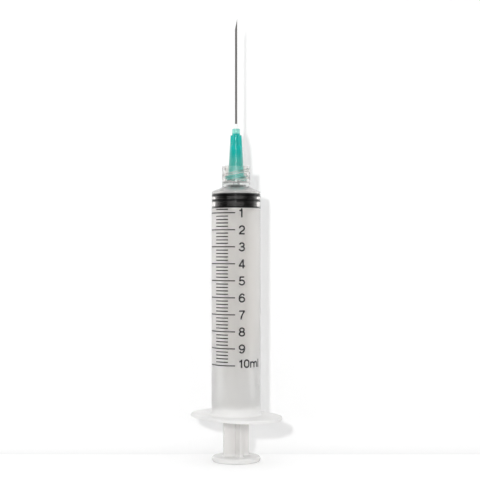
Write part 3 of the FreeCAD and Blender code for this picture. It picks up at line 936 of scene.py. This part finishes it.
@dataclass
class Glyphs:
    """Plain sans-serif characters drawn with a pen of one width, one unit high."""

    pen: float

    def paths(self, character: str) -> list[list[Point]]:
        """Lines along the middle of each stroke of a character."""
        low, high, left, right, middle = 0.065, 0.935, 0.065, 0.655, 0.36
        ring = (right - left) / 2
        six = [bow(middle, 0.325, ring, 0.26, 0, 360), bow(0.385, 0.45, 0.32, 0.485, 200, 42)]
        return {
            "0": [bow(middle, 0.64, ring, 0.295, 0, 180) + bow(middle, 0.36, ring, 0.295, 180, 360)
                  + [(right, 0.64)]],
            "1": [[(0.34, 0), (0.34, 1)],
                  [(0.07, 0.76), (0.17, 0.765), (0.26, 0.80), (0.31, 0.87), (0.33, 0.97)]],
            "2": [bow(middle, 0.67, 0.28, 0.265, 178, -28)
                  + [(0.50, 0.44), (0.34, 0.33), (0.19, 0.22), (0.11, 0.12), (0.09, 0.03)],
                  [(0.03, low), (right + 0.02, low)]],
            "3": [bow(0.35, 0.725, 0.25, 0.21, 172, -90), bow(0.35, 0.29, 0.29, 0.225, 90, -172),
                  [(0.24, 0.515), (0.38, 0.515)]],
            "4": [[(0.50, 0), (0.50, 1)], [(0.48, 0.96), (0.05, 0.27)],
                  [(0.0, 0.265), (0.70, 0.265)]],
            "5": [[(0.14, high), (0.62, high)], [(0.17, 0.97), (0.10, 0.45)],
                  bow(0.35, 0.325, 0.295, 0.26, 148, -168)],
            "6": six,
            "7": [[(0.04, high), (0.69, high)],
                  [(0.65, 0.93), (0.49, 0.70), (0.37, 0.47), (0.29, 0.24), (0.255, 0)]],
            "8": [bow(middle, 0.725, 0.25, 0.21, 0, 360), bow(middle, 0.29, ring, 0.225, 0, 360)],
            "9": [[(0.72 - x, 1 - y) for x, y in path] for path in six],
            "m": [[(0.06, 0), (0.06, 0.74)],
                  [(0.06, 0.40)] + bow(0.325, 0.44, 0.265, 0.235, 180, 0) + [(0.59, 0)],
                  [(0.59, 0.40)] + bow(0.855, 0.44, 0.265, 0.235, 180, 0) + [(1.12, 0)]],
            "l": [[(0.06, 0), (0.06, 1)]],
        }[character]

    def write(self, text: str) -> Piece:
        """Write a text as flat ribbons from the left, as a mesh."""
        places = {"1": 0.0, "0": 0.64, "m": 1.50, "l": 2.86} if len(text) > 1 else {}
        curve = bpy.data.curves.new("number", "CURVE")
        curve.dimensions, curve.twist_mode, curve.extrude = "3D", "Z_UP", self.pen / 2
        for character in text:
            for path in self.paths(character):
                spline = curve.splines.new("POLY")
                spline.points.add(len(path) - 1)
                for point, (x, y) in zip(spline.points, path):
                    point.co = (x + places.get(character, 0.0), y, 0, 1)
                    point.tilt = math.pi / 2
        letters = bpy.data.objects.new("number", curve)
        bpy.context.scene.collection.objects.link(letters)
        Bench.activate(letters)
        bpy.ops.object.convert(target="MESH")
        return bpy.context.object


@dataclass
class MillilitreScale:
    """Print on the barrel: long and short strokes with numbers from 1 to 10."""

    radius: float = 8.412
    first_height: float = 85.0
    spacing: float = 5.735
    stroke: float = 0.37
    long_from: float = -80.0
    long_to: float = -2.2
    short_from: float = -53.4
    short_to: float = -18.8
    digits_from: float = 6.4
    digits_drop: float = 0.05
    last_raise: float = 0.75
    digit_height: float = 3.0
    label_share: float = 0.93
    pen: float = 0.5
    film: float = 0.012
    fifths: range = range(4, 51)
    longest_edge: float = 0.3
    degrees_each: float = 3.0

    def around(self, angle: float, height: float) -> tuple[float, float, float]:
        """Place on the barrel at an angle from the front, in radians, and a height."""
        return (self.radius * math.sin(angle), -self.radius * math.cos(angle), height)

    def line(self, start: float, stop: float) -> Piece:
        """Make one stroke at height 0 between two angles from the front, in degrees."""
        Bench.clear()
        bpy.ops.mesh.primitive_plane_add(size=self.stroke, enter_editmode=True)
        Bench.pick(lambda co: co.x > 0)
        bpy.ops.mesh.delete(type="VERT")
        bpy.ops.mesh.select_all(action="SELECT")
        mesh = bmesh.from_edit_mesh(bpy.context.edit_object.data)
        for vert in mesh.verts:
            vert.co = self.around(math.radians(start), vert.co.y)
        bmesh.update_edit_mesh(bpy.context.edit_object.data)
        bpy.ops.mesh.spin(steps=max(4, int((stop - start) / self.degrees_each)),
                          angle=math.radians(stop - start), center=(0, 0, 0), axis=(0, 0, -1))
        return Bench.leave()

    def strokes(self) -> Piece:
        """Make all strokes, one for each fifth of a millilitre."""
        long_stroke = self.line(self.long_from, self.long_to)
        short_stroke = self.line(self.short_from, self.short_to)
        placed = []
        for fifth in self.fifths:
            source = long_stroke if fifth % 5 == 0 else short_stroke
            twin = Bench.copy(source)
            twin.location.z = self.first_height - self.spacing * (fifth / 5 - 1)
            placed.append(twin)
        for source in (long_stroke, short_stroke):
            bpy.data.objects.remove(source, do_unlink=True)
        for twin in placed:
            Bench.settle(twin)
        return Bench.join(placed)

    def number(self, text: str, height: float) -> Piece:
        """Make a number, centred at a height and wrapped round the barrel.

        Args:
            text: what is printed.
            height: middle of the digits.

        Returns:
            The wrapped print, in millimetres.
        """
        size = self.digit_height * (1.0 if len(text) == 1 else self.label_share)
        letters = Glyphs(self.pen / size).write(text)
        width = max(vert.co.x for vert in letters.data.vertices)
        cuts = int(width * size / self.longest_edge) + 1
        bpy.ops.object.mode_set(mode="EDIT")
        for cut in range(1, cuts):
            bpy.ops.mesh.select_all(action="SELECT")
            bpy.ops.mesh.bisect(plane_co=(width * cut / cuts, 0, 0), plane_no=(1, 0, 0))
        bpy.ops.object.mode_set(mode="OBJECT")
        for vert in letters.data.vertices:
            angle = math.radians(self.digits_from) + vert.co.x * size / self.radius
            vert.co = self.around(angle, height + (vert.co.y - 0.5) * size)
        return letters

    def build(self, finish: ScaleInk) -> None:
        """Model the print and dress it."""
        material = finish.material()
        marks = Bench.finish(self.strokes(), "scale_strokes")
        top = self.first_height - self.digits_drop
        numbers = [self.number(str(value), top - self.spacing * (value - 1))
                   for value in range(1, 10)]
        numbers.append(self.number("10ml", top - self.spacing * 9 + self.last_raise))
        digits = Bench.finish(Bench.join(numbers), "scale_numbers")
        for piece in (marks, digits):
            Bench.apply(piece, "SOLIDIFY", thickness=self.film * MM, offset=0)
            dress(piece, material, Body.BARREL)


@dataclass
class PlungerRod:
    """Thumb rest, cross of ribs, disc and the head that holds the gasket."""

    rest_radius: float = 8.35
    rest_thickness: float = 1.8
    rest_rounding: float = 0.75
    span: float = 9.1
    rib: float = 1.0
    rib_foot: float = 0.8
    overlap: float = 0.4
    flare: float = 0.8
    flare_steps: int = 6
    turn: float = 23.0
    disc_foot: float = 85.9
    seat: float = 86.9
    segments: int = 120

    def rest(self) -> Piece:
        """Make the round thumb rest with the shallow dish below."""
        return Bench.turned([
            Corner(0, 0.4),
            Corner(5.6, 0.4, 0.3),
            Corner(6.0, 0, 0.1),
            Corner(self.rest_radius, 0, self.rest_rounding),
            Corner(self.rest_radius, self.rest_thickness, self.rest_rounding),
            Corner(0, self.rest_thickness),
        ], self.segments, closed=False)

    def head(self) -> Piece:
        """Make the disc behind the gasket and the head inside it."""
        return Bench.turned([
            Corner(0, self.disc_foot),
            Corner(6.8, self.disc_foot, 0.15),
            Corner(6.8, self.seat, 0.15),
            Corner(2.7, self.seat),
            Corner(2.7, 88.1),
            Corner(4.2, 88.1, 0.15),
            Corner(4.2, 89.7, 0.15),
            Corner(2.7, 91.1),
            Corner(0, 91.1),
        ], self.segments, closed=False, steps=3)

    def rib_pair(self) -> Piece:
        """Make two opposite ribs as one slab that flares where it meets the thumb rest."""
        across, thick = self.span, self.rib
        height = self.rest_thickness + self.flare
        top = self.disc_foot + self.overlap
        Bench.box(across, thick, top - height, -across / 2, height)
        Bench.pick(lambda co: co.z < (height + top) / 2)
        for step in range(1, self.flare_steps + 1):
            angle = step * math.pi / 2 / self.flare_steps
            grow = 2 * self.flare * (1 - math.cos(angle))
            level = self.rest_thickness + self.flare * (1 - math.sin(angle))
            Bench.extend(level - height, (self.span + grow) / across, (self.rib + grow) / thick)
            across, thick, height = self.span + grow, self.rib + grow, level
        Bench.extend(self.rib_foot - height)
        Bench.align()
        return Bench.leave()

    def build(self, finish: MilkyPlastic) -> None:
        """Model the rod as one fused solid and dress it."""
        rest, head, slab = self.rest(), self.head(), self.rib_pair()
        Bench.unite(slab, [Bench.turn(Bench.copy(slab), 90), rest, head])
        piece = Bench.finish(Bench.turn(slab, self.turn), "plunger_rod_moulding")
        dress(piece, finish.material(), Body.ROD)
        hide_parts("plunger_rod")


@dataclass
class Gasket:
    """Rubber gasket with three sealing ribs and a conical nose."""

    rib_radius: float = 7.462
    groove_radius: float = 7.18
    base: float = 86.95
    lip: float = 0.2
    socket_radius: float = 2.75
    segments: int = 120

    def outline(self) -> list[Corner]:
        """Outline of the rubber, from the socket's mouth round the outside to the nose."""
        low, rib, groove = self.base, self.rib_radius, self.groove_radius
        return [
            Corner(self.socket_radius, low),
            Corner(6.95, low),
            Corner(6.95, low - self.lip),
            Corner(rib, low - self.lip, 0.05),
            Corner(rib, low + 0.3, 0.08),
            Corner(groove, low + 0.45, 0.12),
            Corner(groove, low + 1.75, 0.12),
            Corner(rib, low + 1.9, 0.12),
            Corner(rib, low + 2.75, 0.12),
            Corner(groove, low + 2.9, 0.12),
            Corner(groove, low + 3.5, 0.12),
            Corner(rib, low + 3.65, 0.12),
            Corner(rib, low + 4.75, 0.12),
            Corner(3.1, low + 5.5, 0.4),
            Corner(2.2, low + 7.65, 0.3),
            Corner(0, low + 7.65),
        ]

    def build(self, finish: BlackRubber) -> None:
        """Model the gasket and dress it."""
        Bench.lathe(soften(self.outline(), closed=False, steps=4), self.segments, closed=False)
        self.socket()
        Bench.outward()
        piece = Bench.finish(Bench.leave(), "gasket_moulding")
        dress(piece, finish.material(), Body.SEAL)
        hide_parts("gasket")

    def socket(self) -> None:
        """Sink the socket for the rod's head from its mouth upwards."""
        radius, height = self.socket_radius, self.base
        Bench.pick(Bench.at_ring(radius, height))
        for next_radius, next_height in ((radius, 88.05), (4.25, 88.05),
                                         (4.25, 89.75), (radius, 91.15)):
            Bench.extend(next_height - height, next_radius / radius)
            radius, height = next_radius, next_height
        bpy.ops.mesh.extrude_region_move(TRANSFORM_OT_translate={"value": (0, 0, 0)})
        bpy.ops.mesh.merge(type="CENTER")


@dataclass
class NeedleHub:
    """Green hub: foot with two lugs, tapered skirt, four fins and a slender nose."""

    base: float = 96.0
    foot_radius: float = 3.35
    lug_radius: float = 3.9
    lug_start: float = 335.0
    lug_phase: float = 155.0
    lug_sweep: float = 115.0
    lead: float = 5.0
    segments: int = 96

    def shell(self) -> Piece:
        """Make the turned part of the hub."""
        corners = [
            Corner(2.16, 0, 0.1),
            Corner(self.foot_radius, 0, 0.15),
            Corner(self.foot_radius, 1.75, 0.22),
            Corner(2.725, 1.75, 0.15),
            Corner(2.15, 12.2),
            Corner(1.375, 12.2, 0.1),
            Corner(1.375, 18.0, 0.2),
            Corner(0.95, 18.0, 0.05),
            Corner(0.41, 16.6),
            Corner(0.41, 10.8),
            Corner(1.836, 10.8, 0.1),
        ]
        return Bench.turned([
            Corner(corner.radius, corner.height + self.base, corner.rounding)
            for corner in corners], self.segments)

    def fin(self) -> Piece:
        """Make one fin on the +X side, narrower at its sloping top."""
        inner, outer, upper = 1.125, 2.06, 1.88
        thick, bevel, top_bevel, top_share = 0.9, 0.16, 0.35, 0.85
        low, high = self.base + 11.9, self.base + 15.8
        outside = inner + 0.2
        Bench.box(outer - inner, thick, high - low, inner, low)
        Bench.pick(lambda co: co.z > low + 1 and co.x > outside)
        Bench.shift(upper - outer, 0, 0)
        Bench.pick(lambda co: co.x > outside)
        bpy.ops.mesh.bevel(offset=bevel, segments=3, affect="EDGES")
        Bench.pick(lambda co: co.z > high - top_bevel and co.x > outside)
        Bench.resize(1, top_share, 1, high)
        # Undivided, its bent faces leave slivers open when the hub's pieces are fused.
        bpy.ops.mesh.select_all(action="SELECT")
        bpy.ops.mesh.quads_convert_to_tris()
        Bench.align()
        return Bench.leave()

    def lug(self) -> Piece:
        """Make one helical lug of the lock, which runs below a ridge of the thread."""
        crest, inner = 0.2, self.foot_radius - 0.8
        foot = crest + (self.lug_radius - self.foot_radius) * math.tan(FLANK)
        overlap, play = self.lug_radius - Barrel.thread_crest, 0.05
        stack = CREST + crest + overlap * math.tan(FLANK) + play / math.cos(FLANK)
        below_ridge = self.lead * self.lug_phase / 360 - stack
        start = Barrel.collar_floor - RIDGE_START + below_ridge
        ridge = Bench.helix([
            (inner, start - foot), (self.foot_radius, start - foot),
            (self.lug_radius, start - crest), (self.lug_radius, start + crest),
            (self.foot_radius, start + foot), (inner, start + foot),
        ], angle=math.radians(self.lug_sweep), rise=self.lead * self.lug_sweep / 360, steps=32)
        return Bench.turn(ridge, self.lug_start)

    def build(self, finish: HubPlastic) -> None:
        """Model the hub as one fused solid and dress it."""
        shell, fin, lug = self.shell(), self.fin(), self.lug()
        fins = [Bench.turn(Bench.copy(fin), quarter) for quarter in (90, 180, 270)]
        Bench.unite(shell, [fin, lug, *fins, Bench.turn(Bench.copy(lug), 180)])
        piece = Bench.finish(shell, "needle_hub_moulding")
        dress(piece, finish.material(), Body.NEEDLE)
        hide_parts("needle_hub")


@dataclass
class Cannula:
    """Steel tube with a main bevel and two side facets at its point."""

    radius: float = 0.4
    wall: float = 0.13
    foot: float = 107.6
    point: float = 152.0
    segments: int = 40

    def grind(self, angle: float, turn: float) -> None:
        """Cut one facet through the point.

        Args:
            angle: facet from the axis, in degrees.
            turn: its turn about the axis, in degrees.
        """
        slant, about = math.radians(angle), math.radians(turn)
        normal = Vector((-math.cos(slant) * math.cos(about), -math.cos(slant) * math.sin(about),
                         math.sin(slant)))
        bpy.ops.mesh.select_all(action="SELECT")
        bpy.ops.mesh.bisect(plane_co=(self.radius, 0, self.point), plane_no=normal,
                            use_fill=True, clear_outer=True)

    def build(self, finish: DrawnSteel) -> None:
        """Model the needle and dress it."""
        inner = self.radius - self.wall
        Bench.lathe([(inner, self.foot), (self.radius, self.foot),
                     (self.radius, self.point), (inner, self.point)], self.segments)
        Bench.outward()
        for angle, turn in ((11.6, 0.0), (16.5, 50.0), (16.5, -50.0)):
            self.grind(angle, turn)
        Bench.outward()
        piece = Bench.finish(Bench.leave(), "cannula_tube", 25.0)
        dress(piece, finish.material(), Body.NEEDLE)
        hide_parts("cannula")


@dataclass
class AdhesiveBead:
    """Adhesive in the hub's well that climbs a little up the needle."""

    base: float = 112.6
    inner: float = 0.42
    segments: int = 48

    def build(self, finish: CuredAdhesive) -> None:
        """Model the bead and dress it."""
        bead = Bench.turned([
            Corner(self.inner, self.base + 0.1),
            Corner(0.93, self.base + 1.4, 0.12),
            Corner(0.80, self.base + 1.95, 0.5),
            Corner(0.58, self.base + 2.75, 0.3),
            Corner(0.50, self.base + 3.1, 0.12),
            Corner(self.inner, self.base + 3.1),
        ], self.segments)
        piece = Bench.finish(bead, "adhesive_meniscus", 60.0)
        dress(piece, finish.material(), Body.CARRIER)
        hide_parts("adhesive_bead")


class Ray(Enum):
    """Kinds of light that a lamp can give."""

    SURFACE = "visible_diffuse"
    HIGHLIGHT = "visible_glossy"
    THROUGH = "visible_transmission"


@dataclass(frozen=True)
class Lamp:
    """One area lamp level with the camera or above it, in millimetres and watts."""

    name: str
    left: float
    height: float
    size: Point
    power: float
    kind: Ray

    def hang(self, camera: Vector) -> None:
        """Hang the lamp as far off as the camera and aim it at the object's middle.

        Args:
            camera: the camera's place in millimetres.
        """
        place = Vector((camera.x - self.left, camera.y, self.height)) * MM
        aim = Vector((0, 0, camera.z * MM)) - place
        bpy.ops.object.light_add(type="AREA", location=place,
                                 rotation=aim.to_track_quat("-Z", "Y").to_euler())
        lamp = bpy.context.object
        lamp.name = self.name
        lamp.data.shape = "RECTANGLE"
        lamp.data.size, lamp.data.size_y = (side * MM for side in self.size)
        lamp.data.energy = self.power
        lamp.data.use_shadow = self.kind is Ray.SURFACE
        lamp.visible_camera = False
        for kind in Ray:
            setattr(lamp, kind.value, kind is self.kind)


@dataclass
class Studio:
    """Camera, plain soft light, pale floor and the white wall close behind."""

    camera_x: float = 1.34
    camera_distance: float = 418.0
    camera_height: float = 72.43
    lens: float = 87.61
    wall_distance: float = 25.0
    lamps: tuple[Lamp, ...] = (
        Lamp("main_lamp", 55.0, 127.43, (16.0, 16.0), 0.6, Ray.SURFACE),
        Lamp("strip_lamp", 20.0, 268.0, (40.0, 200.0), 0.30, Ray.HIGHLIGHT),
        Lamp("fill_lamp", 20.0, 268.0, (800.0, 800.0), 2.60, Ray.THROUGH),
    )
    ambient: float = 0.89
    dark_front: float = 0.02
    floor_glow: float = 0.26
    wall_glow: float = 0.15
    wall_size: float = 700.0
    floor_size: float = 6000.0
    floor_drop: float = 0.02
    cove: float = 12.0

    def camera(self) -> None:
        """Place the camera level in front of the barrel."""
        Bench.clear()
        bpy.ops.object.camera_add(
            location=(self.camera_x * MM, -self.camera_distance * MM, self.camera_height * MM),
            rotation=(math.pi / 2, 0, 0))
        camera = bpy.context.object
        camera.name = "camera"
        camera.data.lens = self.lens
        camera.data.sensor_width = 36
        camera.data.clip_start, camera.data.clip_end = 0.01, 20
        bpy.context.scene.camera = camera

    def backing(self, name: str, glow: float, see_through: bool) -> bpy.types.Material:
        """Make the white of the floor or the wall.

        Args:
            name: the material's name.
            glow: brightness added for what the camera sees directly or through plastic.
            see_through: whether the back isn't seen at all.

        Returns:
            The material.
        """
        made, graph = new_graph(name)
        paper = graph.node("ShaderNodeBsdfDiffuse", values={"Color": (0.8, 0.8, 0.8, 1)})
        light = graph.node("ShaderNodeEmission", values={"Color": (1, 1, 1, 1), "Strength": glow})
        both = graph.node("ShaderNodeAddShader", values={0: paper.outputs[0], 1: light.outputs[0]})
        front = graph.mix(graph.rays("Camera", "Glossy", "Transmission"), paper, both)
        if see_through:
            side = graph.node("ShaderNodeNewGeometry").outputs["Backfacing"]
            front = graph.mix(side, front, graph.node("ShaderNodeBsdfTransparent"))
        graph.show(front)
        return made

    def floor(self) -> None:
        """Lay the floor and stand the wall behind the object."""
        Bench.clear()
        bpy.ops.mesh.primitive_plane_add(size=self.floor_size * MM,
                                         location=(0, 0, -self.floor_drop * MM))
        floor = bpy.context.object
        floor.name = "floor"
        floor.data.materials.append(self.backing("floor_white", self.floor_glow, False))
        cove, back, size = self.cove * MM, self.wall_distance * MM, self.wall_size * MM
        bpy.ops.mesh.primitive_plane_add(size=size, location=(0, back, size / 2 + cove),
                                         rotation=(math.pi / 2, 0, 0), enter_editmode=True)
        Bench.pick(lambda co: co.y < 0)
        bpy.ops.mesh.spin(steps=16, angle=math.pi / 2, center=(0, back - cove, cove),
                          axis=(1, 0, 0))
        Bench.align()
        wall = Bench.leave()
        if wall.data.polygons[0].normal.z < 0:
            wall.data.flip_normals()
        bpy.ops.object.shade_smooth()
        wall.name = "backdrop"
        wall.data.materials.append(self.backing("backdrop_white", self.wall_glow, True))
        wall.visible_diffuse = False
        wall.visible_shadow = False

    def sky(self) -> None:
        """Light everything evenly, with plain white where it is seen or mirrored."""
        world = bpy.data.worlds.new("studio")
        bpy.context.scene.world = world
        world.use_nodes = True
        graph = Graph(world.node_tree)
        behind = graph.band(graph.axis("Y"), -0.6, 0.9)
        soft, plain, mirrored = (
            graph.node("ShaderNodeBackground", values={"Color": (1, 1, 1, 1), "Strength": strength})
            for strength in (self.ambient, 1.0, self.dark_front + behind * (1 - self.dark_front)))
        seen = graph.mix(graph.rays("Camera", "Transmission"), soft, plain)
        graph.show(graph.mix(graph.rays("Glossy"), seen, mirrored), "World")

    def build(self) -> None:
        """Set up the whole studio."""
        self.camera()
        for lamp in self.lamps:
            lamp.hang(Vector((self.camera_x, -self.camera_distance, self.camera_height)))
        self.floor()
        self.sky()
        bpy.context.scene.view_settings.view_transform = "Standard"
        LOG.info("studio ready")


def main() -> None:
    """Build the studio and every piece in order."""
    logging.basicConfig(level=logging.INFO, format="%(name)s: %(message)s")
    Studio().build()
    Barrel().build(ClearPlastic())
    MillilitreScale().build(ScaleInk())
    PlungerRod().build(MilkyPlastic())
    Gasket().build(BlackRubber())
    NeedleHub().build(HubPlastic())
    Cannula().build(DrawnSteel())
    AdhesiveBead().build(CuredAdhesive())


if __name__ == "__main__":
    main()
